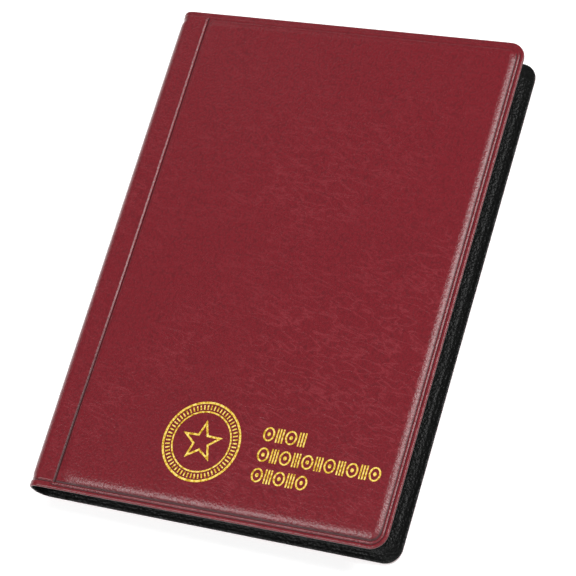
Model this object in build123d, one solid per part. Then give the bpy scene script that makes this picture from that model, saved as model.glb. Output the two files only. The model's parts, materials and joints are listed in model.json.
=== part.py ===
"""Pocket album for coins: two stiff covers, a soft round spine and ten pocket pages.

Lengths are in millimetres, +Z up. The model is laid out with x from the spine's face
to the fore-edge and y from tail to head, then moved so that the middle of its
footprint is at the origin. It lies on its back cover.
"""
import os
from math import cos, radians, sin

from build123d import *

# Overall size
WIDTH = 124.0
HEIGHT = 170.0

# Cover make-up: an outer skin and a lining, welded on a seam plane, with a board between
SKIN = 0.5
LINING = 0.4
BOARD = 1.6
BACK_SEAM = 1.3
FRONT_SEAM = 11.9
MIDDLE = (BACK_SEAM + FRONT_SEAM) / 2
COVER_CORNER = 5.5
SQUARE_END = 8.0

# Board outline
BOARD_LEFT = 11.5
BOARD_RIGHT = 121.0
BOARD_TAIL = 3.0
BOARD_HEAD = 167.0
BOARD_CORNER = 3.2
PAD_EDGE = 0.65
BACK_FACE = BACK_SEAM - BOARD / 2 - SKIN
BACK_INNER = BACK_SEAM + BOARD / 2 + LINING

# Weld lines pressed into the skin
RIM_GROOVE_INSET = 1.1
RIM_GROOVE_WIDTH = 0.6
HINGE_GROOVE_X = 10.1
HINGE_GROOVE_WIDTH = 1.6
GROOVE_DEPTH = 0.15

# Round spine
SPINE_R = 4.7
SPINE_SPLIT_GAP = 0.2
BIND_FACE = 4.5
BIND_TAIL = 9.0
BIND_LENGTH = 152.0
# Upper half of the bundle's section, as (x, height above the spine's middle)
BIND_SECTION = [
    (SKIN + LINING, 1.1), (1.2, 2.2), (2.0, 3.3), (2.8, 3.95), (BIND_FACE, 3.95),
]

# The front cover rests ajar on the pages
FRONT_TILT = 1.94

# Pages
PAGE_COUNT = 10
PAGE_ROOT = 4.65
PAGE_Z = 3.05
PAGE_PITCH = 0.76
PAGE_WIDTH = 109.0
PAGE_CORNER = 4.0
PAGE_SQUARE_END = 6.0
BACKING = 0.2
BIND_MARGIN = 7.0
POCKET_W = 34.0
POCKET_H = 37.0
COLUMNS = 3
ROWS = 4
POCKET_TOP_GAP = 4.0
WELD = 1.4
FILM = 0.12
POCKET_GAP = 0.1
FLAP_H = 8.5
FLAP_WELD = 2.0
FLAP_GAP = 0.04
FLAP_TOP_GAP = 0.4

# Gold foil on the front cover, as (x, y) from the spine's face and the tail
FOIL = 0.05
EMBLEM_X = 55.8
EMBLEM_Y = 23.15
EMBLEM_R = 13.2
EMBLEM_RIM = 0.7
INNER_RING_R = 10.1
INNER_RING = 0.5
EMBLEM_REEDS = 60
EMBLEM_REED_R = 11.3
EMBLEM_REED_LENGTH = 1.5
EMBLEM_REED = 0.45
STAR_POINTS = 5
STAR_R = 7.2
STAR_WAIST_R = 3.0
STAR_HOLLOW = 0.74
ROW_MARKS = (4, 11, 5)
ROW_LEFT = 75.4
ROW_TOP = 29.2
ROW_PITCH = 6.7
ROW_HEIGHT = 4.6
MARK_GAP = 0.6
COIN_WIDTH = 3.9
COIN_SIDE = 0.6
COIN_TOP = 0.5
COIN_DOT_X = 0.55
COIN_DOT_Y = 0.65
REEDS_WIDTH = 2.4
REED_BAR = 0.5

# The hinge line of the front cover, at the middle of the spine's bend
HINGE_X = SPINE_R * (1 - cos(radians(45)))
HINGE_HIGH = FRONT_SEAM + SKIN - HINGE_X

# How far a cutting block runs past what it cuts
CLEAR = 1.0


def plate(x0, x1, y0, y1, z0, z1):
    """A plain block between two corners."""
    block = Box(x1 - x0, y1 - y0, z1 - z0, align=(Align.MIN, Align.MIN, Align.MIN))
    return Pos(x0, y0, z0) * block


def rounded(x0, x1, y0, y1, radius):
    """A rectangle with all four corners rounded."""
    middle = Pos((x0 + x1) / 2, (y0 + y1) / 2)
    return middle * RectangleRounded(x1 - x0, y1 - y0, radius)


def cover_sheet(z0, z1, inset=0.0):
    """A sheet with the cover's outline, rounded at the fore-edge only."""
    right, tail, head = WIDTH - inset, inset, HEIGHT - inset
    corner = COVER_CORNER - inset
    left_edge = SPINE_R + inset
    sheet = extrude(rounded(left_edge, right, tail, head, corner), z1 - z0)
    square_end = plate(left_edge, left_edge + SQUARE_END, tail, head, 0, z1 - z0)
    return Pos(0, 0, z0) * (sheet + square_end)


def arc_strip(z_centre, start, size, outer, thickness):
    """A bent strip the length of the spine: part of a tube about the spine's corner."""
    wall = Circle(outer) - Circle(outer - thickness)
    reach = 2 * outer
    points = [(0, 0)]
    for angle in (start, start + size / 2, start + size):
        points.append((reach * cos(radians(angle)), reach * sin(radians(angle))))
    sector = make_face(Polyline(*points, points[0]))
    section = Plane.XZ * Pos(SPINE_R, z_centre) * (wall & sector)
    return Pos(0, HEIGHT, 0) * extrude(section, HEIGHT)


def split_angle():
    """Half of the gap between two bodies at a spine corner, as an angle."""
    return SPINE_SPLIT_GAP / 2 / radians(1) / SPINE_R


def back_corner(outer, thickness):
    """The quarter of the spine's bend that stays with the back cover."""
    size = 45 - split_angle()
    return arc_strip(BACK_SEAM - SKIN + SPINE_R, 270 - size, size, outer, thickness)


def rim_groove(z0, z1):
    """The fine weld line that runs all round a cover, just inside its edge."""
    outer = cover_sheet(z0, z1, RIM_GROOVE_INSET)
    low, high = z0 - CLEAR, z1 + CLEAR
    inner = cover_sheet(low, high, RIM_GROOVE_INSET + RIM_GROOVE_WIDTH)
    return outer - inner - plate(0, HINGE_GROOVE_X, 0, HEIGHT, low, high)


def pad(z0, z1, outer_low):
    """The raised part of a skin or lining over the board, with soft outer edges."""
    grow = SKIN if outer_low else LINING
    outline = rounded(
        BOARD_LEFT - grow, BOARD_RIGHT + grow, BOARD_TAIL - grow, BOARD_HEAD + grow,
        BOARD_CORNER + grow,
    )
    body = Pos(0, 0, z0) * extrude(outline, z1 - z0)
    edges = body.edges().group_by(Axis.Z)
    return fillet(edges[0] if outer_low else edges[-1], PAD_EDGE)


def board():
    """The stiff board inside a cover."""
    outline = rounded(BOARD_LEFT, BOARD_RIGHT, BOARD_TAIL, BOARD_HEAD, BOARD_CORNER)
    return Pos(0, 0, BACK_SEAM - BOARD / 2) * extrude(outline, BOARD)


def cover_skin():
    """Outer skin of the back cover: flange, raised panel, hinge strip and bend."""
    low = BACK_SEAM - SKIN
    skin = cover_sheet(low, BACK_SEAM) + pad(BACK_FACE, BACK_SEAM, True)
    skin += back_corner(SPINE_R, SKIN)
    left = HINGE_GROOVE_X - HINGE_GROOVE_WIDTH / 2
    right = HINGE_GROOVE_X + HINGE_GROOVE_WIDTH / 2
    floor = low + GROOVE_DEPTH
    skin -= plate(left, right, -CLEAR, HEIGHT + CLEAR, low - CLEAR, floor)
    skin -= rim_groove(low, floor)
    return skin - board()


def cover_lining():
    """Inner lining of the back cover, welded to the skin all round the board."""
    lining = cover_sheet(BACK_SEAM, BACK_SEAM + LINING) + pad(BACK_SEAM, BACK_INNER, False)
    lining += back_corner(SPINE_R - SKIN, LINING)
    return lining - board()


def to_front(shape):
    """Mirror a back cover piece to the front and lay it ajar on the pages."""
    mirrored = mirror(shape, Plane.XY.offset(MIDDLE))
    axis = Axis((HINGE_X, 0, HINGE_HIGH), (0, -1, 0))
    return mirrored.rotate(axis, FRONT_TILT)


def spine_wall(outer, thickness, face):
    """The soft spine between its two bends, as skin or as lining."""
    size = 45 - split_angle()
    low = BACK_SEAM - SKIN + SPINE_R
    high = FRONT_SEAM + SKIN - SPINE_R
    wall = plate(face, face + thickness, 0, HEIGHT, low, high)
    wall += arc_strip(low, 180, size, outer, thickness)
    return wall + arc_strip(high, 180 - size, size, outer, thickness)


def page_binding():
    """The welded bundle of page margins that fills the hollow of the spine."""
    lower = [(x, MIDDLE - z) for x, z in BIND_SECTION]
    upper = [(x, MIDDLE + z) for x, z in reversed(BIND_SECTION)]
    points = lower + upper
    section = Plane.XZ * make_face(Polyline(*points, points[0]))
    return Pos(0, BIND_TAIL + BIND_LENGTH, 0) * extrude(section, BIND_LENGTH)


def page_backing():
    """The page itself: a thin black sheet, rounded at its outer corners."""
    x1, y1 = PAGE_ROOT + PAGE_WIDTH, BIND_TAIL + BIND_LENGTH
    sheet = extrude(rounded(PAGE_ROOT, x1, BIND_TAIL, y1, PAGE_CORNER), BACKING)
    return sheet + plate(PAGE_ROOT, PAGE_ROOT + PAGE_SQUARE_END, BIND_TAIL, y1, 0, BACKING)


def pocket_strip(y0):
    """One row of pockets: a clear film held off the sheet by its weld ribs."""
    x0 = PAGE_ROOT + BIND_MARGIN
    x1 = x0 + COLUMNS * POCKET_W
    y1 = y0 + POCKET_H - POCKET_TOP_GAP
    floor = BACKING + POCKET_GAP
    film_top = floor + FILM
    strip = plate(x0, x1, y0, y1, floor, film_top)
    strip += plate(x0, x1, y0, y0 + WELD, BACKING, film_top)
    ribs = [x0] + [x0 + i * POCKET_W - WELD / 2 for i in range(1, COLUMNS)] + [x1 - WELD]
    for rib in ribs:
        strip += plate(rib, rib + WELD, y0, y1, BACKING, film_top)
    return strip


def flap_strip(y0):
    """The clear flap welded above one row of pockets, hanging over their mouths."""
    x0 = PAGE_ROOT + BIND_MARGIN
    x1 = x0 + COLUMNS * POCKET_W
    top = y0 + POCKET_H - FLAP_TOP_GAP
    low = BACKING + POCKET_GAP + FILM + FLAP_GAP
    flap = plate(x0, x1, top - FLAP_H, top, low, low + FILM)
    return flap + plate(x0, x1, top - FLAP_WELD, top, BACKING, low + FILM)


def page_rows():
    """The tail-side edge of each row of pockets."""
    first = BIND_TAIL + (BIND_LENGTH - ROWS * POCKET_H) / 2
    return [first + row * POCKET_H for row in range(ROWS)]


def to_page(shape, index):
    """Lay a page piece on its own level, fanned to fill the space under the cover."""
    level = PAGE_Z + PAGE_PITCH * index
    fan = FRONT_TILT * (index + 0.5) / PAGE_COUNT
    laid = Pos(0, 0, level - BACKING / 2) * shape
    return laid.rotate(Axis((PAGE_ROOT, 0, level), (0, -1, 0)), fan)


def star(share):
    """A plain star, at a share of its full size."""
    points = []
    for step in range(2 * STAR_POINTS):
        radius = share * (STAR_WAIST_R if step % 2 else STAR_R)
        angle = radians(90 + 180 * step / STAR_POINTS)
        points.append((radius * cos(angle), radius * sin(angle)))
    return make_face(Polyline(*points, points[0]))


def front_emblem():
    """Gold roundel like a coin: rim, reeding, inner ring and a star in outline."""
    mark = Circle(EMBLEM_R) - Circle(EMBLEM_R - EMBLEM_RIM)
    mark += Circle(INNER_RING_R) - Circle(INNER_RING_R - INNER_RING)
    reed = Pos(EMBLEM_REED_R, 0) * Rectangle(EMBLEM_REED_LENGTH, EMBLEM_REED)
    for step in range(EMBLEM_REEDS):
        mark += Rot(0, 0, step * 360 / EMBLEM_REEDS) * reed
    mark += star(1.0) - star(STAR_HOLLOW)
    return Pos(EMBLEM_X, EMBLEM_Y, BACK_FACE - FOIL) * extrude(mark, FOIL)


def small_coin():
    """A small ring with a dot in it."""
    ring = Ellipse(COIN_WIDTH / 2, ROW_HEIGHT / 2)
    ring -= Ellipse(COIN_WIDTH / 2 - COIN_SIDE, ROW_HEIGHT / 2 - COIN_TOP)
    return ring + Ellipse(COIN_DOT_X, COIN_DOT_Y)


def small_reeds():
    """Three upright bars, like a stretch of a coin's reeded edge."""
    bar = Rectangle(REED_BAR, ROW_HEIGHT)
    side = (REEDS_WIDTH - REED_BAR) / 2
    return bar + Pos(-side, 0) * bar + Pos(side, 0) * bar


def ornament_row(count):
    """One row of the ornament: small coins and reeds in turn, from the left."""
    row = Pos(COIN_WIDTH / 2, 0) * small_coin()
    step = (COIN_WIDTH + REEDS_WIDTH) / 2 + MARK_GAP
    for index in range(1, count):
        mark = small_reeds() if index % 2 else small_coin()
        row += Pos(COIN_WIDTH / 2 + index * step, 0) * mark
    return row


def front_ornament():
    """Three short rows of gold coins and reeds beside the emblem."""
    rows = Sketch()
    for row, count in enumerate(ROW_MARKS):
        rows += Pos(ROW_LEFT, ROW_TOP - row * ROW_PITCH) * ornament_row(count)
    return Pos(0, 0, BACK_FACE - FOIL) * extrude(rows, FOIL)


def save(name, shape):
    """Write one piece, moved so that the album's footprint is centred on the origin."""
    placed = Pos(-WIDTH / 2, -HEIGHT / 2, 0) * shape
    export_step(placed, "parts/" + name + ".step")
    box = placed.bounding_box()
    print(f"{name:22s} volume {placed.volume:10.2f}  z {box.min.Z:6.2f} to {box.max.Z:6.2f}")


def main():
    os.makedirs("parts", exist_ok=True)
    skin = cover_skin()
    lining = cover_lining()
    save("back_cover_skin", skin)
    save("back_board", board())
    save("back_lining", lining)
    save("spine_skin", spine_wall(SPINE_R, SKIN, 0))
    save("spine_lining", spine_wall(SPINE_R - SKIN, LINING, SKIN))
    save("page_binding", page_binding())
    save("front_cover_skin", to_front(skin))
    save("front_board", to_front(board()))
    save("front_lining", to_front(lining))
    save("front_emblem", to_front(front_emblem()))
    save("front_ornament", to_front(front_ornament()))
    backing = page_backing()
    pockets = Compound([pocket_strip(y) for y in page_rows()])
    flaps = Compound([flap_strip(y) for y in page_rows()])
    for index in range(PAGE_COUNT):
        number = f"{index + 1:02d}"
        save("page_backing_" + number, to_page(backing, index))
        save("pocket_strips_" + number, to_page(pockets, index))
        save("pocket_flaps_" + number, to_page(flaps, index))


main()
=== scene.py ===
# %% [markdown]
# A pocket album for coins, lying on its back cover. The shapes that carry load
# and move were made as solids first. Here we load them as a fixed frame and
# give every surface its real look: leatherette, lining, gold foil, clear film.

# %% Load the frame
import json
import math

import bpy
import numpy as np
from mathutils import Matrix, Vector


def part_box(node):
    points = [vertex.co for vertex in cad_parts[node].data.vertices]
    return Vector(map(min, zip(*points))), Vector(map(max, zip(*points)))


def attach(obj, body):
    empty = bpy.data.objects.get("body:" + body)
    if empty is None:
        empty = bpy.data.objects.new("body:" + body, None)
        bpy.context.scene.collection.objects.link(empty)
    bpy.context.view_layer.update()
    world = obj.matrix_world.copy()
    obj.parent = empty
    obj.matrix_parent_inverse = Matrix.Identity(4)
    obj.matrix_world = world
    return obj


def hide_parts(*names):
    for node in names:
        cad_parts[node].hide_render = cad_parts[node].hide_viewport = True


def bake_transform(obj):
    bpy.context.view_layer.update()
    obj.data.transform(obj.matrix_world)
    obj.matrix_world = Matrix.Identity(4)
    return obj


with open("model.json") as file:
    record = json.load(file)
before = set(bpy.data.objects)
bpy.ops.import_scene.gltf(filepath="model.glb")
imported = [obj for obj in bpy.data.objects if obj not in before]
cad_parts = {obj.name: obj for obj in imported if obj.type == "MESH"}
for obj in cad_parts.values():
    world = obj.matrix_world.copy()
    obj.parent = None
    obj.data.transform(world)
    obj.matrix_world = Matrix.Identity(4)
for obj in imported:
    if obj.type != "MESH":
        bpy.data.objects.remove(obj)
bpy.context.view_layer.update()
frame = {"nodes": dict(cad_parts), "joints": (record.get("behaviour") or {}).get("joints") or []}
MM = 0.001

# %% [markdown]
# The covers are described by one section, seen from the tail. It starts in the
# middle of the spine, runs round the soft corner and out to the fore-edge.
# Sizes are in millimetres, with x from the spine's face and y from the tail,
# because that is how a maker would lay the sheet out on a bench.

# %% Sizes of the covers
SPINE_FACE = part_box("spine_skin")[0][0] / MM
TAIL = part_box("back_cover_skin")[0][1] / MM
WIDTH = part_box("back_cover_skin")[1][0] / MM - SPINE_FACE
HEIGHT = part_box("back_cover_skin")[1][1] / MM - TAIL
MIDDLE_Z = 6.6       # height of the middle of the spine
FLANGE_Z = 12.4      # outside of the front cover beside the spine
SPINE_R = 4.7        # round of the soft back
CORNER_R = 5.5       # round of the fore-edge corners
COVER_LIFT = math.radians(1.94)      # the front cover rests a little ajar
SKIN = 0.5
LINING = 0.4
PAD_RISE = 0.8       # how far the board lifts the sheet that covers it
HINGE_X = SPINE_R * (1 - math.cos(math.pi / 4))
HINGE_Z = FLANGE_Z - HINGE_X
print(f"cover {WIDTH:.1f} x {HEIGHT:.1f} mm")

# %% [markdown]
# The section is a straight spine, an arc and a straight cover. An arc tangent
# to both straights gives the soft round back with no kink. Each point comes
# with its outward direction, so a skin or a lining is just a distance from it.


# %% The section of a cover
def section(q, lift):
    """Point and outward direction at q; q is x on the flat cover, less before it."""
    sweep = math.pi / 2 - lift
    direction = np.array([math.cos(lift), math.sin(lift)])
    outward = np.array([-direction[1], direction[0]])
    reach = np.array([SPINE_R - HINGE_X, FLANGE_Z - HINGE_Z])
    on_line = np.array([HINGE_X, HINGE_Z]) + reach[0] * direction + reach[1] * outward
    along = (SPINE_R - on_line[0] + SPINE_R * outward[0]) / direction[0]
    touch = on_line + along * direction
    centre = touch - SPINE_R * outward
    start = SPINE_R + along
    if q >= start:
        return touch + (q - start) * direction, outward
    turned = (start - q) / SPINE_R
    if turned <= sweep:
        angle = math.pi / 2 + lift + turned
        away = np.array([math.cos(angle), math.sin(angle)])
        return centre + SPINE_R * away, away
    down = (turned - sweep) * SPINE_R
    return np.array([centre[0] - SPINE_R, centre[1] - down]), np.array([-1.0, 0.0])


def spine_middle(lift):
    """The value of q at the middle of the spine."""
    low, high = -20.0, SPINE_R
    for _ in range(60):
        guess = (low + high) / 2
        if section(guess, lift)[0][1] > MIDDLE_Z:
            high = guess
        else:
            low = guess
    return (low + high) / 2


print(f"front sheet starts at {spine_middle(COVER_LIFT):.2f} mm")

# %% [markdown]
# The surface of the skin rises and falls by tenths of a millimetre: a rounded
# rim, a pressed weld line, a crease, the rounded edge of the board, and the
# hinge weld. Each is a small function of the distance from an edge. Two soft
# shapes are enough for all of them: a step and a valley.


# %% Soft steps, valleys and distances
def smooth(value, low, high):
    t = np.clip((value - low) / (high - low), 0.0, 1.0)
    return t * t * (3 - 2 * t)


def valley(value, centre, half_width):
    t = np.clip(np.abs(value - centre) / half_width, 0.0, 1.0)
    return 0.5 + 0.5 * np.cos(math.pi * t)


def end_distance(y):
    """Distance in from the tail or the head, whichever is nearer."""
    return min(y, HEIGHT - y)


def rim_distance(q, y):
    """Distance in from the trimmed edge, whose fore-edge corners are round."""
    fore, end = WIDTH - q, end_distance(y)
    if fore < CORNER_R and end < CORNER_R:
        return CORNER_R - math.hypot(CORNER_R - fore, CORNER_R - end)
    return min(fore, end)


print(f"the middle of the cover is {rim_distance(WIDTH / 2, HEIGHT / 2):.1f} mm in from the rim")

# %% [markdown]
# The board lifts the sheet over it, and its edge is a quarter-round, softer at
# the tail than at the fore-edge. The hinge weld isn't quite parallel to the
# spine: it runs a little nearer at the tail, as the sheets are laid by hand.

# %% The board under the sheet
FLANGE = 2.35             # from the rim to the board's edge
HINGE_AT_TAIL = 9.8       # the hinge weld from the spine's face
HINGE_SKEW = 0.95
HINGE_GAP = 0.35
TAIL_SLACK = 5.0          # the rise beside the hinge is this much wider at the tail
ROUND_OFF = 1.3
SKIN_EDGES = (2.3, 3.9, 3.0, 2.2)     # widths of the rise at fore-edge, tail, head and hinge


def hinge_line(y):
    return HINGE_AT_TAIL + HINGE_SKEW * smooth(y, 0.0, 100.0)


def board_rise(q, y, edges):
    """0 on the flange, 1 over the board, with a quarter-round between."""
    fore_w, tail_w, head_w, hinge_w = edges
    fore = (WIDTH - q - FLANGE) / fore_w
    hinge = (q - hinge_line(y) - HINGE_GAP) / (hinge_w + TAIL_SLACK * (1 - smooth(y, 4.0, 22.0)))
    end = (y - FLANGE) / tail_w if y < HEIGHT / 2 else (HEIGHT - y - FLANGE) / head_w
    side = min(fore, hinge)
    t = min(side, end)
    if side < ROUND_OFF and end < ROUND_OFF:
        t = ROUND_OFF - math.hypot(ROUND_OFF - side, ROUND_OFF - end)
    t = min(max(t, 0.0), 1.0)
    power = 2.6 - 1.1 * smooth(end - fore, -0.3, 0.3)
    return float((1 - (1 - t) ** power) * smooth(t, -0.08, 0.24))


def skin_rise(q, y):
    return PAD_RISE * board_rise(q, y, SKIN_EDGES)


print(f"the skin rises {skin_rise(60, 85):.2f} mm over the board")

# %% [markdown]
# The weld line, the crease and the hinge weld are grooves, and each gets a painted shade beside its
# depth. The weld line and the crease run round the cover, and are faint at the head. The hinge weld is
# a slope down from the spine and a steep rise to the board; its painted shade lies mostly on the rise.

# %% Pressed lines and their painted shade
WELD_LINE = 1.35
CREASE_LINE = 2.3
STRIP_END = 9.5           # the crease starts here, past the strip beside the spine
HEAD_BAND = 4.0


def tail_step(q, y):
    """At the tail the weld line stands a little further in across the spine."""
    return 0.9 * (1 - smooth(q, 8.4, 9.6)) if y < HEIGHT / 2 else 0.0


def hinge_press(q, y):
    weld = hinge_line(y)
    slope = 0.5 + 0.4 * smooth(y, 20.0, 110.0)
    return valley(q, weld, slope if q < weld else 0.6)


def off_the_ends(y):
    """0 on the rim at the tail and the head, 1 inside it."""
    return smooth(end_distance(y), 1.6, 2.6)


def skin_groove_shade(q, y):
    """How much painted shade the pressed lines and grooves get, from 0 to 1."""
    rim, step = rim_distance(q, y), tail_step(q, y)
    near_tail = 1 - smooth(y, 5.0, 8.0)
    crease = valley(rim, FLANGE + step + 0.15 * near_tail, 0.35 + 0.35 * near_tail)
    crease *= q > STRIP_END
    weld = valley(rim, WELD_LINE - 0.1 + step, 0.35)
    # The painted shade of the weld line and the crease is faint at the head.
    if y > HEIGHT - HEAD_BAND:
        crease, weld = 0.2 * crease, 0.2 * weld
    # Painted shade beside the hinge weld: on the rise to the board, and near the tail on the spine's
    # side too.
    right = min(1.0, 1.8 * valley(q, hinge_line(y) + 0.4, 0.5))
    right *= 0.8 + 0.2 * smooth(y, 20.0, 80.0)
    left = valley(q, hinge_line(y) - 0.1, 0.6) * (1 - smooth(y, 20.0, 80.0))
    return max(crease, weld, max(left, right) * off_the_ends(y))


print(f"shade of the weld line {skin_groove_shade(60, WELD_LINE):.2f}")

# %% [markdown]
# The relief puts it all together. The rim is rounded over, the spine draws in
# a little near its ends, and the panel has a slow swell of five hundredths of
# a millimetre, which is what keeps a gloss on it from looking like glass.

# %% The relief of the skin
RIM_ROUND = 0.6
SWELL = 0.05


def skin_relief(q, y):
    rim, step = rim_distance(q, y), tail_step(q, y)
    height = skin_rise(q, y)
    if rim < RIM_ROUND:
        height -= 0.34 * (1 - math.sqrt(max(0.0, 1 - (1 - rim / RIM_ROUND) ** 2)))
    deep = 0.35 if y > HEIGHT - HEAD_BAND else 1.0
    height -= 0.26 * deep * valley(rim, WELD_LINE + step, 0.5)
    height -= 0.10 * deep * valley(rim, CREASE_LINE + step, 0.25) * (q > STRIP_END)
    height -= 0.38 * hinge_press(q, y) * off_the_ends(y)
    spine = 1 - smooth(q, 0.0, 4.0)
    height -= 0.30 * spine * valley(rim, 3.0, 1.6)
    calm = smooth(rim, 2.5, 9.0) * smooth(q, 10.0, 18.0) * smooth(y, 38.0, 60.0)
    height += SWELL * calm * (math.sin(q * 0.11 + 0.6) * math.sin(y * 0.083 + 1.1) - 1)
    return height


print(f"height at the middle of the panel {skin_relief(60, 85):.2f} mm")

# %% [markdown]
# A sheet's mesh has rings that follow its trimmed edge, so the weld line runs
# cleanly round the corners, and a plain grid inside them. The rings end where
# the corner's radius runs out. A second layer gives the sheet its thickness.

# %% Stations of the mesh
RINGS = [0, 0.08, 0.2, 0.38, 0.6, 0.85, 1.0, 1.15, 1.3, 1.45, 1.6, 1.85, 2.05, 2.2, 2.35, 2.5,
         2.7, 2.95, 3.25, 3.6, 4.0, 4.5, 5.0, CORNER_R]
CORNER_STEPS = 14


def cross_stations(lift):
    """Where the mesh has its lines, from the spine's middle to the last ring."""
    start = spine_middle(lift)
    spine = np.linspace(start, SPINE_R + 0.3, 26)
    strip = np.linspace(5.4, 9.0, 7)
    weld = np.arange(9.2, 13.8, 0.16)
    panel = np.linspace(14.2, WIDTH - CORNER_R, 50)
    return np.concatenate([spine, strip, weld, panel])


def long_stations():
    return np.linspace(CORNER_R, HEIGHT - CORNER_R, 76)


print(len(RINGS), "rings,", len(cross_stations(0.0)), "lines across")

# %% [markdown]
# Points are collected once, keyed by place, so that rings and grid share their
# corners. A face that shrinks to a line at a corner's centre loses its double
# points, and is a triangle.


# %% The flat net of a sheet
def flat_net(lift):
    """Points (q, y) and faces of the flat sheet."""
    points, index, faces = [], {}, []

    def point(q, y):
        key = (round(q, 4), round(y, 4))
        if key not in index:
            index[key] = len(points)
            points.append((q, y))
        return index[key]

    def patch(rows):
        for low, high in zip(rows[:-1], rows[1:]):
            for a, b, c, d in zip(low[:-1], low[1:], high[1:], high[:-1]):
                face = [a, b, c, d]
                face = [v for n, v in enumerate(face) if v not in face[:n]]
                if len(face) > 2:
                    faces.append(face)

    across, along = cross_stations(lift), long_stations()
    patch([[point(q, s) for q in across] for s in RINGS])
    patch([[point(q, HEIGHT - s) for q in across] for s in reversed(RINGS)])
    patch([[point(q, y) for q in across] for y in along])
    patch([[point(WIDTH - s, y) for s in reversed(RINGS)] for y in along])
    for top in (False, True):
        rows = []
        for step in range(CORNER_STEPS + 1):
            angle = math.pi / 2 * step / CORNER_STEPS
            row = []
            for s in RINGS:
                radius = CORNER_R - s
                q = WIDTH - CORNER_R + radius * math.cos(angle)
                y = CORNER_R - radius * math.sin(angle)
                row.append(point(q, HEIGHT - y if top else y))
            rows.append(row)
        patch(rows if top else rows[::-1])
    return points, faces


net_points, net_faces = flat_net(COVER_LIFT)
print(len(net_points), "points,", len(net_faces), "faces in the front sheet's net")

# %% [markdown]
# Whether a closed mesh faces outwards can be read from its volume: it is
# negative when the faces point in. Then every face is turned over.


# %% Turn a closed mesh the right way out
def turn_outwards(mesh):
    """Turn every face over if the closed mesh is inside out."""
    volume = 0.0
    spots = [v.co for v in mesh.vertices]
    for face in mesh.polygons:
        ids = face.vertices
        for n in range(1, len(ids) - 1):
            volume += spots[ids[0]].dot(spots[ids[n]].cross(spots[ids[n + 1]]))
    if volume < 0:
        mesh.flip_normals()


print("closed meshes will face outwards")

# %% [markdown]
# A sheet is the net placed twice, at the heights of its two faces, with a wall
# along the whole border. The border is every edge that only one face uses.


# %% Build a sheet
def border_edges(faces):
    """The edges used by one face only, each in its face's direction."""
    seen = {}
    for face in faces:
        for a, b in zip(face, face[1:] + face[:1]):
            seen.setdefault((min(a, b), max(a, b)), []).append((a, b))
    return [uses[0] for uses in seen.values() if len(uses) == 1]


def sheet_points(points, height, lift, front):
    """Place flat points in the album's frame, in metres."""
    placed = []
    for q, y in points:
        spot, away = section(q, lift)
        x, z = spot + away * height(q, y)
        z = z if front else 2 * MIDDLE_Z - z
        placed.append(((SPINE_FACE + x) * MM, (TAIL + y) * MM, z * MM))
    return placed


def build_sheet(name, outer, inner, pressed, front, material):
    """A closed sheet between two heights over the cover's section."""
    lift = COVER_LIFT if front else 0.0
    points, faces = flat_net(lift)
    count = len(points)
    placed = sheet_points(points, outer, lift, front) + sheet_points(points, inner, lift, front)
    walls = [[b, a, a + count, b + count] for a, b in border_edges(faces)]
    under = [[v + count for v in reversed(face)] for face in faces]
    mesh = bpy.data.meshes.new(name)
    mesh.from_pydata(placed, [], faces + under + walls)
    mesh.validate()
    turn_outwards(mesh)
    mesh.shade_smooth()
    mesh.set_sharp_from_angle(angle=math.radians(50))
    piece = bpy.data.objects.new(name, mesh)
    bpy.context.collection.objects.link(piece)
    mesh.materials.append(material)
    # The attribute 'pressed' carries the painted shade of the pressed lines and grooves.
    shade = [pressed(q, y) for q, y in points]
    mesh.attributes.new("pressed", "FLOAT", "POINT").data.foreach_set("value", shade + shade)
    print(name, len(mesh.polygons), "faces")
    return piece


print(len(border_edges(net_faces)), "edges on the border of the front sheet")

# %% [markdown]
# Small helpers for materials: a new node material, a node with its settings,
# a ramp of colours, a noise, a range and a bump. They keep each finish short
# enough to read. Every pattern lies in Object coordinates, so it has the same
# size on each piece, and stays with the piece when it moves.


# %% Helpers for materials
def new_material(name):
    material = bpy.data.materials.new(name)
    material.use_nodes = True
    nodes = material.node_tree.nodes
    return material, nodes, material.node_tree.links, nodes["Principled BSDF"]


def add(nodes, kind, inputs=None, **settings):
    node = nodes.new(kind)
    for key, value in settings.items():
        setattr(node, key, value)
    for key, value in (inputs or {}).items():
        node.inputs[key].default_value = value
    return node


def ramp(nodes, links, source, stops):
    node = nodes.new("ShaderNodeValToRGB")
    band = node.color_ramp
    while len(band.elements) < len(stops):
        band.elements.new(0.5)
    for element, (place, shade) in zip(band.elements, stops):
        element.position = place
        element.color = (*shade, 1.0) if len(shade) == 3 else shade
    links.new(source, node.inputs["Fac"])
    return node.outputs["Color"]


def noise(nodes, links, place, scale, detail):
    node = add(nodes, "ShaderNodeTexNoise", {"Scale": scale, "Detail": detail})
    links.new(place, node.inputs["Vector"])
    return node.outputs["Fac"]


def spread(nodes, links, source, low, high):
    """The source, from 0 to 1, spread between low and high."""
    node = add(nodes, "ShaderNodeMapRange", {"To Min": low, "To Max": high})
    links.new(source, node.inputs["Value"])
    return node.outputs["Result"]


def bump(nodes, links, height, depth, strength=1.0, under=None):
    """A bump of a depth in metres, over the one under it; a negative depth is a hollow."""
    node = add(nodes, "ShaderNodeBump", {"Strength": strength, "Distance": abs(depth)},
               invert=depth < 0)
    links.new(height, node.inputs["Height"])
    if under is not None:
        links.new(under, node.inputs["Normal"])
    return node.outputs["Normal"]


def grey(level):
    return (level, level, level)


print("helpers for materials ready")

# %% [markdown]
# Leatherette is PVC embossed with a leather grain. Soft wavy creases run aslant
# across the cover. Noise that is stretched and turned has such long shapes,
# and a thin line follows them wherever the noise passes its middle value. A
# second noise, far larger, lets the creases come and go in patches.


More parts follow.
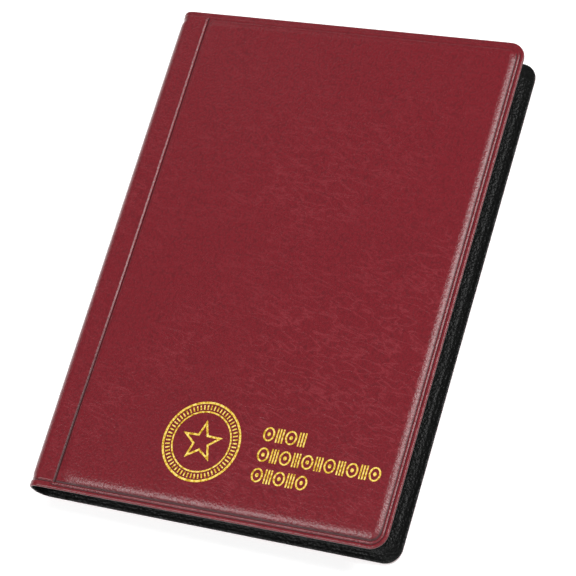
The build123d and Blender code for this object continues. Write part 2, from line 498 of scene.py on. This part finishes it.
# %% Creases of the leather grain
def creases(nodes, links, place):
    """How much of a crease is at each point, from 0 to 1."""
    turned = nodes.new("ShaderNodeMapping")
    turned.inputs["Rotation"].default_value = (0.0, 0.0, math.radians(13))
    links.new(place, turned.inputs["Vector"])
    stretched = nodes.new("ShaderNodeMapping")
    stretched.inputs["Scale"].default_value = (0.34, 1.0, 1.0)
    links.new(turned.outputs["Vector"], stretched.inputs["Vector"])
    folds = add(nodes, "ShaderNodeTexNoise",
                {"Scale": 340.0, "Detail": 3.0, "Roughness": 0.5, "Distortion": 0.7})
    links.new(stretched.outputs["Vector"], folds.inputs["Vector"])
    line = ramp(nodes, links, folds.outputs["Fac"],
                [(0.44, grey(0.0)), (0.478, grey(0.25)), (0.50, grey(1.0)), (0.522, grey(0.25)),
                 (0.56, grey(0.0))])
    patches = ramp(nodes, links, noise(nodes, links, place, 30.0, 3.0),
                   [(0.38, grey(0.12)), (0.60, grey(1.0))])
    shown = add(nodes, "ShaderNodeMix", {"Factor": 1.0}, data_type="RGBA", blend_type="MULTIPLY")
    links.new(line, shown.inputs["A"])
    links.new(patches, shown.inputs["B"])
    return shown.outputs["Result"]


print("creases ready")

# %% [markdown]
# The creases get a painted highlight, a little lighter than the ground, most of all towards the tail,
# and the valleys of the grain get a little painted shade. Along the pressed lines and grooves a
# painted shade makes the sheet nearly black-red: the attribute that each sheet carries says where that
# is.


# %% Colour of leatherette
def tinted(nodes, links, share, base, top):
    """The colour base, with a share of the plain colour top over it."""
    mix = add(nodes, "ShaderNodeMix", data_type="RGBA", blend_type="MIX")
    links.new(share, mix.inputs["Factor"])
    links.new(base, mix.inputs["A"])
    mix.inputs["B"].default_value = (*top, 1.0)
    return mix.outputs["Result"]


def fading_to_head(nodes, links, place, crease):
    """The creases, strongest in the tail half of the cover."""
    parts = nodes.new("ShaderNodeSeparateXYZ")
    links.new(place, parts.inputs["Vector"])
    fade = add(nodes, "ShaderNodeMapRange",
               {"From Min": 0.0, "From Max": 0.075, "To Min": 0.65, "To Max": 0.22})
    links.new(parts.outputs["Y"], fade.inputs["Value"])
    strength = add(nodes, "ShaderNodeMath", operation="MULTIPLY")
    links.new(crease, strength.inputs[0])
    links.new(fade.outputs["Result"], strength.inputs[1])
    return strength.outputs["Value"]


print("colours of leatherette ready")

# %% [markdown]
# A fine pebble comes from Voronoi cells, with a finer noise on it. Pebble,
# noise and creases are three bumps, each over the one before, so each keeps
# its own depth. The pressed lines are a little duller than the rest.


# %% Leatherette
def leatherette(name, ground, light, valley_shade, gloss, roughness, pebble, pebble_depth, crease_depth):
    material, nodes, links, shader = new_material(name)
    shader.inputs["Specular IOR Level"].default_value = gloss
    place = nodes.new("ShaderNodeTexCoord").outputs["Object"]
    # The attribute 'pressed' says where painted shade falls on the pressed lines and grooves.
    pressed = add(nodes, "ShaderNodeAttribute", attribute_name="pressed").outputs["Fac"]
    grain = add(nodes, "ShaderNodeTexVoronoi", {"Scale": pebble, "Randomness": 1.0},
                feature="SMOOTH_F1")
    links.new(place, grain.inputs["Vector"])
    cells = grain.outputs["Distance"]
    fine = noise(nodes, links, place, pebble * 1.3, 3.0)
    crease = creases(nodes, links, place)

    # Painted shade: the grain's valleys are darker.
    valleys = ramp(nodes, links, cells, [(0.25, ground), (0.75, valley_shade)])
    # Painted highlight: the creases are lighter, most of all towards the tail.
    colour = tinted(nodes, links, fading_to_head(nodes, links, place, crease), valleys, light)
    # Painted shade: the pressed lines and grooves are nearly black-red.
    colour = tinted(nodes, links, pressed, colour, [part * 0.25 for part in valley_shade])
    links.new(colour, shader.inputs["Base Color"])

    dull = add(nodes, "ShaderNodeMath", {1: 0.18}, operation="MULTIPLY_ADD")
    links.new(pressed, dull.inputs[0])
    links.new(spread(nodes, links, fine, roughness - 0.05, roughness + 0.08), dull.inputs[2])
    links.new(dull.outputs["Value"], shader.inputs["Roughness"])

    relief = bump(nodes, links, cells, -pebble_depth)
    relief = bump(nodes, links, fine, pebble_depth * 0.7, under=relief)
    relief = bump(nodes, links, crease, -crease_depth, under=relief)
    links.new(relief, shader.inputs["Normal"])
    return material


# The lighter colour is the painted highlight of the creases, and the darker one the painted shade of
# the grain's valleys and, darker still, of the pressed lines.
burgundy = leatherette("burgundy_leatherette", ground=(0.140, 0.0038, 0.0094),
                       light=(0.196, 0.018, 0.026), valley_shade=(0.100, 0.0028, 0.0070),
                       gloss=0.40, roughness=0.33, pebble=1500.0,
                       pebble_depth=0.00007, crease_depth=0.000014)
black_grain = leatherette("black_lining", ground=(0.0072, 0.0074, 0.0072),
                          light=(0.012, 0.013, 0.012), valley_shade=(0.0050, 0.0052, 0.0050),
                          gloss=0.09, roughness=0.30, pebble=1350.0,
                          pebble_depth=0.00020, crease_depth=0.00002)
print("leatherette in burgundy and black")

# %% [markdown]
# The outer skin is one sheet on the real album. Its front half runs from the middle of the spine to
# the fore-edge, the back half likewise, and the two meet on the spine.


# %% Outer skins
def skin_inside(q, y):
    return skin_rise(q, y) - SKIN


front_skin = build_sheet("front_skin", skin_relief, skin_inside, skin_groove_shade, True, burgundy)
back_skin = build_sheet("back_skin", skin_relief, skin_inside, skin_groove_shade, False, burgundy)
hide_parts("front_cover_skin", "spine_skin")
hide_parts("back_cover_skin", "spine_skin")

# %% [markdown]
# The black lining is welded to the skin all round the board. It has the same
# rim, and rises over the board on the inside of the cover. A sheet's heights
# are measured outwards, so the lining's are all negative.

# %% Linings
LINING_EDGES = (4.6, 4.8, 4.6, 3.0)
LINING_HINGE = 10.1


def lining_rise(q, y):
    return PAD_RISE * board_rise(q, y, LINING_EDGES)


def lining_relief(q, y):
    rim = rim_distance(q, y)
    depth = SKIN + LINING + lining_rise(q, y)
    depth -= 0.05 * valley(rim, WELD_LINE, 0.6)
    depth -= 0.16 * (rim < 0.4) * (1 - rim / 0.4)
    depth -= 0.15 * valley(q, LINING_HINGE, 0.8)
    return -depth


def lining_outside(q, y):
    return -SKIN - lining_rise(q, y)


# Painted shade along the lining's pressed hinge groove.
def lining_groove_shade(q, y):
    return 0.8 * valley(q, LINING_HINGE, 0.8)


front_lining = build_sheet("front_lining_sheet", lining_outside, lining_relief, lining_groove_shade,
                           True, black_grain)
back_lining = build_sheet("back_lining_sheet", lining_outside, lining_relief, lining_groove_shade,
                          False, black_grain)
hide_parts("front_lining", "spine_lining")
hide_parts("back_lining", "spine_lining")
print(f"the lining's hinge is pressed {LINING_HINGE} mm from the spine's face")

# %% [markdown]
# A point given in millimetres is placed in the album's frame, and each sheet's placement is baked into
# its mesh.


# %% Place the sheets
def at(x, y, z):
    return ((SPINE_FACE + x) * MM, (TAIL + y) * MM, z * MM)


for piece in (front_skin, front_lining):
    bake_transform(piece)
for piece in (back_skin, back_lining):
    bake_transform(piece)

# %% [markdown]
# Gold hot-stamping foil is a thin metal film pressed into the grain. It is
# bright, but broken: the grain shows through as small dull and dark flecks.


# %% Gold foil
def gold_foil():
    material, nodes, links, shader = new_material("gold_foil")
    place = nodes.new("ShaderNodeTexCoord").outputs["Object"]
    flecks = noise(nodes, links, place, 1300.0, 2.0)
    tone = ramp(nodes, links, flecks, [(0.34, (0.52, 0.30, 0.014)), (0.46, (0.86, 0.56, 0.048)),
                                       (0.60, (1.0, 0.78, 0.20))])
    links.new(tone, shader.inputs["Base Color"])
    shader.inputs["Metallic"].default_value = 0.55
    links.new(spread(nodes, links, flecks, 0.28, 0.5), shader.inputs["Roughness"])
    links.new(bump(nodes, links, flecks, 0.00004, 0.7), shader.inputs["Normal"])
    return material


def dress(node, material):
    """Give a solid of the frame a new finish."""
    for slot in frame["nodes"][node].material_slots:
        slot.material = material


foil = gold_foil()
for node in ("front_emblem", "front_ornament"):
    dress(node, foil)
print("foil on the front cover")

# %% [markdown]
# A leaf is one sheet of black PVC. Its inner margin lies flat in the bundle
# that is welded into the spine, and the rest turns with the leaf. At rest the
# leaves fan out evenly under the front cover, which is why it lies ajar.

# %% Leaf sizes
LEAF_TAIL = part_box("page_binding")[0][1] / MM - TAIL
LEAF_LENGTH = (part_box("page_binding")[1][1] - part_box("page_binding")[0][1]) / MM
LEAF_WIDTH = 109.0
LEAF_CORNER = 4.0
BACKING = 0.2        # thickness of the black sheet
BIND_MARGIN = 7.0    # from the leaf's root to its pockets
POCKET_W = 34.0
POCKET_H = 37.0
turns = sorted((j for j in frame["joints"] if j["name"].startswith("page_turn")),
               key=lambda joint: joint["name"])
LEAF_FANS = [COVER_LIFT * (n + 0.5) / len(turns) for n in range(len(turns))]


def on_leaf(number, x, y, z):
    """A point x from the root, y from the tail and z above the sheet's middle."""
    root = turns[number]["pos_m"]
    fan = LEAF_FANS[number]
    return (root[0] + (x * math.cos(fan) - z * math.sin(fan)) * MM, (TAIL + y) * MM,
            root[2] + (x * math.sin(fan) + z * math.cos(fan)) * MM)


print(len(turns), "leaves of", LEAF_WIDTH, "x", round(LEAF_LENGTH), "mm")

# %% [markdown]
# A leaf, a film and a board all come from one thing: two grids of points, an
# upper and a lower one, with a wall round their border.


# %% A closed grid
def closed_grid(name, top, bottom, material, body=None):
    """A closed piece between two grids of points, in metres."""
    rows, columns = len(top), len(top[0])
    count = rows * columns
    points = [p for row in top for p in row] + [p for row in bottom for p in row]
    faces = []
    for i in range(rows - 1):
        for j in range(columns - 1):
            a = i * columns + j
            faces.append([a, a + 1, a + columns + 1, a + columns])
    under = [[v + count for v in reversed(face)] for face in faces]
    walls = [[b, a, a + count, b + count] for a, b in border_edges(faces)]
    mesh = bpy.data.meshes.new(name)
    mesh.from_pydata(points, [], faces + under + walls)
    turn_outwards(mesh)
    mesh.shade_smooth()
    mesh.set_sharp_from_angle(angle=math.radians(45))
    mesh.materials.append(material)
    piece = bpy.data.objects.new(name, mesh)
    bpy.context.collection.objects.link(piece)
    if body:
        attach(piece, body)
    return piece


print("closed grids ready")

# %% [markdown]
# Soft black PVC sheet has an even, fine matt surface, like the skin of a
# chalkboard, with a faint cloudiness where it was calendered. The film of the
# pockets is clear and glossy, with slow ripples, and where the welding tool
# pressed it the same film is frosted. Coverage by Alpha keeps both light.


# %% Sheet PVC and clear film
def sheet_pvc():
    material, nodes, links, shader = new_material("black_sheet_pvc")
    place = nodes.new("ShaderNodeTexCoord").outputs["Object"]
    cloud = noise(nodes, links, place, 60.0, 4.0)
    tone = ramp(nodes, links, cloud, [(0.3, (0.013, 0.013, 0.014)), (0.7, (0.016, 0.016, 0.017))])
    links.new(tone, shader.inputs["Base Color"])
    links.new(spread(nodes, links, cloud, 0.47, 0.55), shader.inputs["Roughness"])
    matt = noise(nodes, links, place, 3500.0, 2.0)
    links.new(bump(nodes, links, matt, 0.00002, 0.6), shader.inputs["Normal"])
    return material


def clear_film(name, low, high, cover, roughness):
    """Clear PVC; cover is how much it hides, from 0 to 1."""
    material, nodes, links, shader = new_material(name)
    place = nodes.new("ShaderNodeTexCoord").outputs["Object"]
    ripple = noise(nodes, links, place, 70.0, 1.5)
    links.new(ramp(nodes, links, ripple, [(0.3, low), (0.7, high)]), shader.inputs["Base Color"])
    shader.inputs["Alpha"].default_value = cover
    shader.inputs["Specular IOR Level"].default_value = 0.9
    links.new(spread(nodes, links, ripple, roughness, 2 * roughness), shader.inputs["Roughness"])
    links.new(bump(nodes, links, ripple, 0.0005, 0.6), shader.inputs["Normal"])
    return material


sheet_black = sheet_pvc()
film = clear_film("clear_film", (0.07, 0.073, 0.08), (0.10, 0.105, 0.115), 0.24, 0.06)
frosted_weld = clear_film("frosted_weld", (0.20, 0.21, 0.22), (0.26, 0.27, 0.28), 0.55, 0.22)
print("sheet and film ready")

# %% [markdown]
# Leaves run from the bundle in the spine to their outer edge. The outer
# corners are rounded by letting the sheet's ends draw in along an arc. Inside
# the spine the leaves come closer together, pressed into the weld.


# %% Leaves
BUNDLE_X = 1.1       # where the leaves begin, on the weld in the spine
BUNDLE_END = 4.4     # where they come free of each other
SQUEEZE = 0.52


def leaf_rows(number, side):
    level = turns[number]["pos_m"][2] / MM
    rows = []
    for x in np.linspace(BUNDLE_X, BUNDLE_END, 8):
        pressed = smooth(BUNDLE_END - x, 0.0, 3.0)
        z = MIDDLE_Z + (level - MIDDLE_Z) * (1 - SQUEEZE * pressed) + side * BACKING / 2
        rows.append([at(x, LEAF_TAIL + y, z) for y in np.linspace(0, LEAF_LENGTH, 16)])
    outer = LEAF_WIDTH - LEAF_CORNER
    stations = list(np.linspace(0.3, 8.0, 16)) + list(np.linspace(12.0, outer, 12))
    stations += [outer + LEAF_CORNER * math.sin(a) for a in np.linspace(0.12, math.pi / 2, 9)]
    for x in stations:
        over = max(0.0, x - outer)
        draw = LEAF_CORNER - math.sqrt(max(0.0, LEAF_CORNER ** 2 - over ** 2))
        ends = np.linspace(draw, LEAF_LENGTH - draw, 16)
        rows.append([on_leaf(number, x, LEAF_TAIL + y, side * BACKING / 2) for y in ends])
    return rows


for number, joint in enumerate(turns):
    name = f"leaf_{number + 1:02d}"
    leaf = closed_grid(name, leaf_rows(number, 1), leaf_rows(number, -1), sheet_black)
    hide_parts(f"page_backing_{number + 1:02d}", "page_binding")
    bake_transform(leaf)
print(len(turns), "leaves bend at their roots")

# %% [markdown]
# A weld bar joins the margins to the lining of the spine. The tool that makes
# it has a row of teeth, so the bar is a run of small pillows.


# %% Weld bar in the spine
BAR_HALF = 2.6
TOOTH = 4.0


def bar_rows(side):
    rows = []
    for z in np.linspace(-BAR_HALF, BAR_HALF, 9):
        crown = math.sqrt(max(0.0, 1 - (z / BAR_HALF) ** 2))
        row = []
        for y in np.linspace(0, LEAF_LENGTH, 305):
            pillow = 0.5 + 0.5 * math.cos(2 * math.pi * y / TOOTH)
            reach = 0.95 + (0.35 + 0.25 * pillow) * crown if side > 0 else 0.9
            row.append(at(reach, LEAF_TAIL + y, MIDDLE_Z + z))
        rows.append(row)
    return rows


bar = closed_grid("spine_weld_bar", bar_rows(1), bar_rows(-1), black_grain, "spine")
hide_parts("page_binding")
print("weld bar", len(bar.data.polygons), "faces")

# %% [markdown]
# A row of pockets is one strip of clear film, welded down between the pockets
# and along their lower edge. Between the welds the film stands off the sheet
# in a shallow pillow, which is what catches the light on the real leaf.


# %% Shape of the pocket film
FILM = 0.12          # thickness of the film
FILM_GAP = 0.01      # it lies this far off the black sheet
WELD = 1.4
POCKET_MOUTH = 4.0   # the strip stops this far below the next row
ROWS = 4
COLUMNS = 3
FIRST_ROW = LEAF_TAIL + (LEAF_LENGTH - ROWS * POCKET_H) / 2


def film_height(x, y):
    """How high the film stands, x and y from the pocket strip's lower inner corner."""
    across = min(x % POCKET_W, POCKET_W - x % POCKET_W) - WELD / 2
    if x < WELD or x > COLUMNS * POCKET_W - WELD:
        across = min(abs(x), abs(COLUMNS * POCKET_W - x)) - WELD
    lift = smooth(across, 0.0, 2.0) * smooth(y - WELD, 0.0, 2.0)
    pillow = smooth(across, 0.0, 14.0) * smooth(y - WELD, 0.0, 12.0)
    return BACKING / 2 + FILM_GAP + 0.1 * lift + 0.09 * pillow


def film_rows(number, y0, side):
    welds = [column * POCKET_W for column in range(COLUMNS + 1)]
    offsets = (-2.6, -1.4, -0.7, 0.0, 0.7, 1.4, 2.6, 6.0, 11.0, 17.0, 23.0, 28.0)
    stations = sorted({min(max(w + o, 0.0), COLUMNS * POCKET_W) for w in welds for o in offsets})
    rows = []
    for x in stations:
        row = []
        for y in (0.0, 0.7, 1.4, 2.2, 3.4, 6.0, 10.0, 15.0, 21.0, 27.0, POCKET_H - POCKET_MOUTH):
            z = film_height(x, y) + (FILM if side > 0 else 0.0)
            row.append(on_leaf(number, BIND_MARGIN + x, y0 + y, z))
        rows.append(row)
    return rows


print(f"a pocket's film stands {film_height(POCKET_W / 2, POCKET_H / 2):.2f} mm off the leaf's middle")

# %% [markdown]
# A flap covers the mouths of each row and keeps the coins in. It is welded on
# above them, hangs free over them, and is notched where a weld runs down.

# %% Shape of the flaps
FLAP = 8.5           # height of the flap
FLAP_REACH = 8.9     # its lower edge is this far below the top of the row
NOTCH = 2.4


def flap_rows(number, y0, side):
    rows = []
    for x in np.linspace(0, COLUMNS * POCKET_W, 49):
        inside = min(x % POCKET_W, POCKET_W - x % POCKET_W)
        notch = NOTCH * (1 - smooth(inside, 0.2, 3.2))
        row = []
        for t in (0.0, 0.12, 0.3, 0.5, 0.72, 0.78, 0.9, 1.0):
            y = POCKET_H - FLAP_REACH + notch + (FLAP - notch) * t
            lift = 0.30 * (1 - smooth(t, 0.55, 0.78))
            z = BACKING / 2 + FILM_GAP + lift + (FILM if side > 0 else 0.0)
            row.append(on_leaf(number, BIND_MARGIN + x, y0 + y, z))
        rows.append(row)
    return rows


print(ROWS, "flaps on each leaf, notched", NOTCH, "mm deep")

# %% [markdown]
# The four strips of a leaf become one piece, and its four flaps another. They
# ride with their leaf, so they need no bend.


# %% Pockets on the leaves
def joined(name, pieces, material):
    """Several meshes as one piece."""
    data = bpy.data.meshes.new(name)
    points, faces = [], []
    for piece in pieces:
        first = len(points)
        points += [tuple(v.co) for v in piece.data.vertices]
        faces += [[v + first for v in face.vertices] for face in piece.data.polygons]
        bpy.data.objects.remove(piece)
    data.from_pydata(points, [], faces)
    data.shade_smooth()
    data.set_sharp_from_angle(angle=math.radians(45))
    data.materials.append(material)
    whole = bpy.data.objects.new(name, data)
    bpy.context.collection.objects.link(whole)
    return whole


for number, joint in enumerate(turns):
    for kind, rows_of, replaced in (("films", film_rows, "pocket_strips"),
                                    ("flaps", flap_rows, "pocket_flaps")):
        strips = []
        for row in range(ROWS):
            y0 = FIRST_ROW + row * POCKET_H
            strips.append(closed_grid(f"strip_{row}", rows_of(number, y0, 1),
                                      rows_of(number, y0, -1), film))
        piece = joined(f"pocket_{kind}_clear_{number + 1:02d}", strips, film)
        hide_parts(f"{replaced}_{number + 1:02d}")
        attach(piece, joint["child"])
print("pockets on", len(turns), "leaves")

# %% [markdown]
# The welding tool has a milled face, so each weld line of the pockets is a row
# of small grains pressed in the film, over nine hundred on each leaf. Placing
# them by hand is no work for a person, and copying in Python is slow. Geometry
# Nodes are made for this: points are spaced along lines, and each gets a grain.


# %% A tree that sets grains along lines
def weld_grain_tree():
    tree = bpy.data.node_groups.new("weld_grains", "GeometryNodeTree")
    sockets = tree.interface
    sockets.new_socket("Lines", in_out="INPUT", socket_type="NodeSocketGeometry")
    for name in ("Spacing", "Grain along", "Grain across", "Grain height"):
        sockets.new_socket(name, in_out="INPUT", socket_type="NodeSocketFloat")
    sockets.new_socket("Finish", in_out="INPUT", socket_type="NodeSocketMaterial")
    sockets.new_socket("Grains", in_out="OUTPUT", socket_type="NodeSocketGeometry")
    nodes, links = tree.nodes, tree.links
    given, result = nodes.new("NodeGroupInput"), nodes.new("NodeGroupOutput")
    curve = nodes.new("GeometryNodeMeshToCurve")
    links.new(given.outputs["Lines"], curve.inputs["Mesh"])
    spaced = add(nodes, "GeometryNodeCurveToPoints", mode="LENGTH")
    links.new(curve.outputs["Curve"], spaced.inputs["Curve"])
    links.new(given.outputs["Spacing"], spaced.inputs["Length"])
    facing = add(nodes, "FunctionNodeAlignRotationToVector", axis="X")
    links.new(spaced.outputs["Tangent"], facing.inputs["Vector"])
    size = nodes.new("ShaderNodeCombineXYZ")
    for name, axis in (("Grain along", "X"), ("Grain across", "Y"), ("Grain height", "Z")):
        links.new(given.outputs[name], size.inputs[axis])
    grain = add(nodes, "GeometryNodeMeshIcoSphere", {"Radius": 0.5, "Subdivisions": 1})
    placed = nodes.new("GeometryNodeInstanceOnPoints")
    links.new(spaced.outputs["Points"], placed.inputs["Points"])
    links.new(grain.outputs["Mesh"], placed.inputs["Instance"])
    links.new(facing.outputs["Rotation"], placed.inputs["Rotation"])
    links.new(size.outputs["Vector"], placed.inputs["Scale"])
    real = nodes.new("GeometryNodeRealizeInstances")
    links.new(placed.outputs["Instances"], real.inputs["Geometry"])
    finish = nodes.new("GeometryNodeSetMaterial")
    links.new(real.outputs["Geometry"], finish.inputs["Geometry"])
    links.new(given.outputs["Finish"], finish.inputs["Material"])
    links.new(finish.outputs["Geometry"], result.inputs["Grains"])
    return tree


grain_tree = weld_grain_tree()
print("tree with", len(grain_tree.nodes), "nodes")

# %% [markdown]
# The lines are drawn once, on a leaf laid flat: one along the foot of every
# pocket, and one up each of its sides, as far as the flap.

# %% Weld lines of a leaf
WELD_END = 4.9       # the weld stops this far below the pocket's mouth, under the flap
END_GAP = 0.9


def weld_lines():
    """The middle of every weld, as separate straight lines on a flat leaf."""
    lines = []
    for row in range(ROWS):
        y0 = FIRST_ROW + row * POCKET_H
        for column in range(COLUMNS + 1):
            inset = WELD / 2 if column == 0 else -WELD / 2 if column == COLUMNS else 0.0
            x = BIND_MARGIN + column * POCKET_W + inset
            lines.append(((x, y0 + WELD), (x, y0 + POCKET_H - POCKET_MOUTH - WELD_END)))
            if column < COLUMNS:
                base = y0 + WELD / 2
                lines.append(((x + END_GAP, base), (x + POCKET_W - END_GAP, base)))
    return lines


print(len(weld_lines()), "weld lines on a leaf")

# %% [markdown]
# The tree is given its sizes through the modifier, by each input's identifier,
# because a modifier doesn't know its inputs by name. The evaluated object then
# becomes a plain mesh, and the guide and its modifier are removed.

# %% Grains along the weld lines
GRAIN_SIZES = {"Spacing": 0.9, "Grain along": 0.45, "Grain across": 0.9, "Grain height": 0.11}
GRAIN_FACES = 20     # an icosphere that isn't subdivided


def flat_weld_marks(level, finish):
    lines = weld_lines()
    points = [(x * MM, y * MM, level * MM) for line in lines for x, y in line]
    mesh = bpy.data.meshes.new("weld_lines")
    mesh.from_pydata(points, [(2 * n, 2 * n + 1) for n in range(len(lines))], [])
    guide = bpy.data.objects.new("weld_lines", mesh)
    bpy.context.collection.objects.link(guide)
    modifier = guide.modifiers.new("weld_grains", "NODES")
    modifier.node_group = grain_tree
    for socket in grain_tree.interface.items_tree:
        if socket.name in GRAIN_SIZES:
            modifier[socket.identifier] = GRAIN_SIZES[socket.name] * MM
        elif socket.name == "Finish":
            modifier[socket.identifier] = finish
    seen = guide.evaluated_get(bpy.context.evaluated_depsgraph_get())
    marks = bpy.data.meshes.new_from_object(seen)
    guide.modifiers.clear()
    bpy.data.objects.remove(guide)
    return marks


print("grain sizes in mm:", GRAIN_SIZES)

# %% [markdown]
# The grains are frosted where the film is, and black where the tool prints
# through on the back. A copy of both goes to the plane of each leaf.

# %% Weld marks on every leaf
FILM_TOP = BACKING / 2 + FILM_GAP + FILM
LEAF_BACK = -BACKING / 2


def lay_on_leaf(flat, number, name):
    mesh = flat.copy()
    spots = np.empty(3 * len(mesh.vertices))
    mesh.vertices.foreach_get("co", spots)
    x, y, z = spots.reshape(-1, 3).T / MM
    mesh.vertices.foreach_set("co", np.column_stack(on_leaf(number, x, y, z)).ravel())
    mesh.shade_smooth()
    marks = bpy.data.objects.new(f"{name}_{number + 1:02d}", mesh)
    bpy.context.collection.objects.link(marks)
    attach(marks, turns[number]["child"])


for name, level, finish, slot in (("pocket_weld_marks", FILM_TOP, frosted_weld, "pocket_film"),
                                  ("leaf_back_print", LEAF_BACK, sheet_black, "page_sheet")):
    flat_marks = flat_weld_marks(level, finish)
    for number in range(len(turns)):
        lay_on_leaf(flat_marks, number, name)
    print(name, len(flat_marks.polygons) // GRAIN_FACES, "grains on each leaf")

# %% [markdown]
# The boards are grey pulp board. They are shut inside the covers, but a solid
# without a finish would still be unfinished, so they get a plain fibrous grey.


# %% Grey board
def grey_board():
    material, nodes, links, shader = new_material("grey_board")
    place = nodes.new("ShaderNodeTexCoord").outputs["Object"]
    fibre = noise(nodes, links, place, 900.0, 5.0)
    tone = ramp(nodes, links, fibre, [(0.35, (0.22, 0.20, 0.17)), (0.65, (0.36, 0.33, 0.29))])
    links.new(tone, shader.inputs["Base Color"])
    shader.inputs["Roughness"].default_value = 0.9
    links.new(bump(nodes, links, fibre, 0.00005, 0.5), shader.inputs["Normal"])
    return material


board_grey = grey_board()
print("grey board ready")

# %% [markdown]
# A board fills the space between skin and lining. Each of its faces follows
# the sheet that covers it, a few hundredths of a millimetre away, so it has
# the same rounded edge, and nothing shows through.

# %% Boards
BOARD_CORNER = 3.0
BOARD_SLACK = 0.04
BOARD_START = 11.6   # from the spine's face
BOARD_INSET = 3.1    # from the rim at the other three sides
BOARD_EDGE = (0.0, 0.7, 1.5, 2.4, 3.4)
BOARD_FLAT = 4.6


def board_rows(front, side):
    """The board's face, a little inside the skin or the lining that covers it."""
    edges = SKIN_EDGES if side > 0 else LINING_EDGES
    low, high = BOARD_START, WIDTH - BOARD_INSET
    curve = [BOARD_CORNER * (1 - math.cos(a)) for a in np.linspace(0.15, math.pi / 2, 7)]
    stations = [low + c for c in curve] + list(np.linspace(low + 4.5, high - 4.5, 36))
    stations += [high - c for c in reversed(curve)]
    lift = COVER_LIFT if front else 0.0
    rows = []
    for q in stations:
        over = max(0.0, BOARD_CORNER - (q - low), BOARD_CORNER - (high - q))
        draw = BOARD_CORNER - math.sqrt(max(0.0, BOARD_CORNER ** 2 - over ** 2))
        first, last = BOARD_INSET + draw, HEIGHT - BOARD_INSET - draw
        steps = [first + inset for inset in BOARD_EDGE]
        far_end = [last - (y - first) for y in reversed(steps)]
        steps += list(np.linspace(first + BOARD_FLAT, last - BOARD_FLAT, 20))
        steps += far_end
        rise = [max(0.03, PAD_RISE * board_rise(q, y, edges) - BOARD_SLACK) for y in steps]
        height = dict(zip(steps, [side * r - SKIN for r in rise]))
        rows.append(sheet_points([(q, y) for y in steps], lambda _, y: height[y], lift, front))
    return rows


for place, front in (("back", False), ("front", True)):
    piece = closed_grid(f"{place}_grey_board", board_rows(front, 1), board_rows(front, -1),
                        board_grey, f"{place}_cover")
    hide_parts(f"{place}_board")
print("boards fitted inside the covers")

# %% [markdown]
# The floor is a plain pale sheet. A tall soft light at the fore-edge and a
# second one beyond the spine at the tail make the rounded edges of the board
# catch soft bands of light. A large one fills in from the tail, and a faint
# one from the head gives the panel beside the spine its soft sheen.


# %% Floor and lights
def pale_floor():
    mesh = bpy.data.meshes.new("floor")
    half = 3.0
    corners = [(-half, -half, 0), (half, -half, 0), (half, half, 0), (-half, half, 0)]
    mesh.from_pydata(corners, [], [(0, 1, 2, 3)])
    floor = bpy.data.objects.new("floor", mesh)
    bpy.context.collection.objects.link(floor)
    material, nodes, links, shader = new_material("pale_floor")
    shader.inputs["Base Color"].default_value = (0.93, 0.93, 0.93, 1.0)
    shader.inputs["Roughness"].default_value = 0.9
    shader.inputs["Emission Color"].default_value = (1.0, 1.0, 1.0, 1.0)
    shader.inputs["Emission Strength"].default_value = 0.26
    mesh.materials.append(material)


def soft_light(name, place, size, power):
    """A rectangular light that faces the album."""
    lamp = bpy.data.lights.new(name, "AREA")
    lamp.shape = "RECTANGLE"
    lamp.size, lamp.size_y = size
    lamp.energy = power
    light = bpy.data.objects.new(name, lamp)
    bpy.context.collection.objects.link(light)
    light.location = place
    light.rotation_euler = (-Vector(place)).to_track_quat("-Z", "Y").to_euler()


pale_floor()
soft_light("side_light", (0.58, 0.37, 0.92), (0.27, 0.65), 12.4)
soft_light("tail_light", (-0.50, -0.45, 1.00), (0.5, 0.25), 7.6)
soft_light("fill_light", (0.45, -0.55, 1.1), (0.7, 0.7), 2.6)
soft_light("head_light", (-0.64, 0.64, 0.60), (0.35, 0.35), 0.62)
world = bpy.data.worlds.new("studio")
world.use_nodes = True
sky = world.node_tree.nodes["Background"]
sky.inputs["Color"].default_value = (1.0, 1.0, 1.0, 1.0)
sky.inputs["Strength"].default_value = 0.235
bpy.context.scene.world = world
bpy.context.scene.view_settings.view_transform = "Standard"
print(len(bpy.data.lights), "soft lights over a pale floor")

# %% [markdown]
# The camera looks down from the tail and fore-edge side, through a long lens,
# and is rolled so that the album stands at a slant in the frame.

# %% Camera
camera_data = bpy.data.cameras.new("camera")
camera_data.lens = 164.39
camera_data.sensor_width = 36.0
camera = bpy.data.objects.new("camera", camera_data)
bpy.context.collection.objects.link(camera)
looking = Vector((-0.39473, 0.30817, -0.86558)).normalized()
upward = Vector((-0.14381, 0.90974, 0.38947))
right = looking.cross(upward).normalized()
upward = right.cross(looking)
turn = Matrix((right, upward, -looking)).transposed().to_4x4()
camera.matrix_world = Matrix.Translation((0.33154, -0.26139, 0.72767)) @ turn
camera_data.clip_end = 20.0
bpy.context.scene.camera = camera
print(f"camera {camera.matrix_world.translation.length:.2f} m from the album")
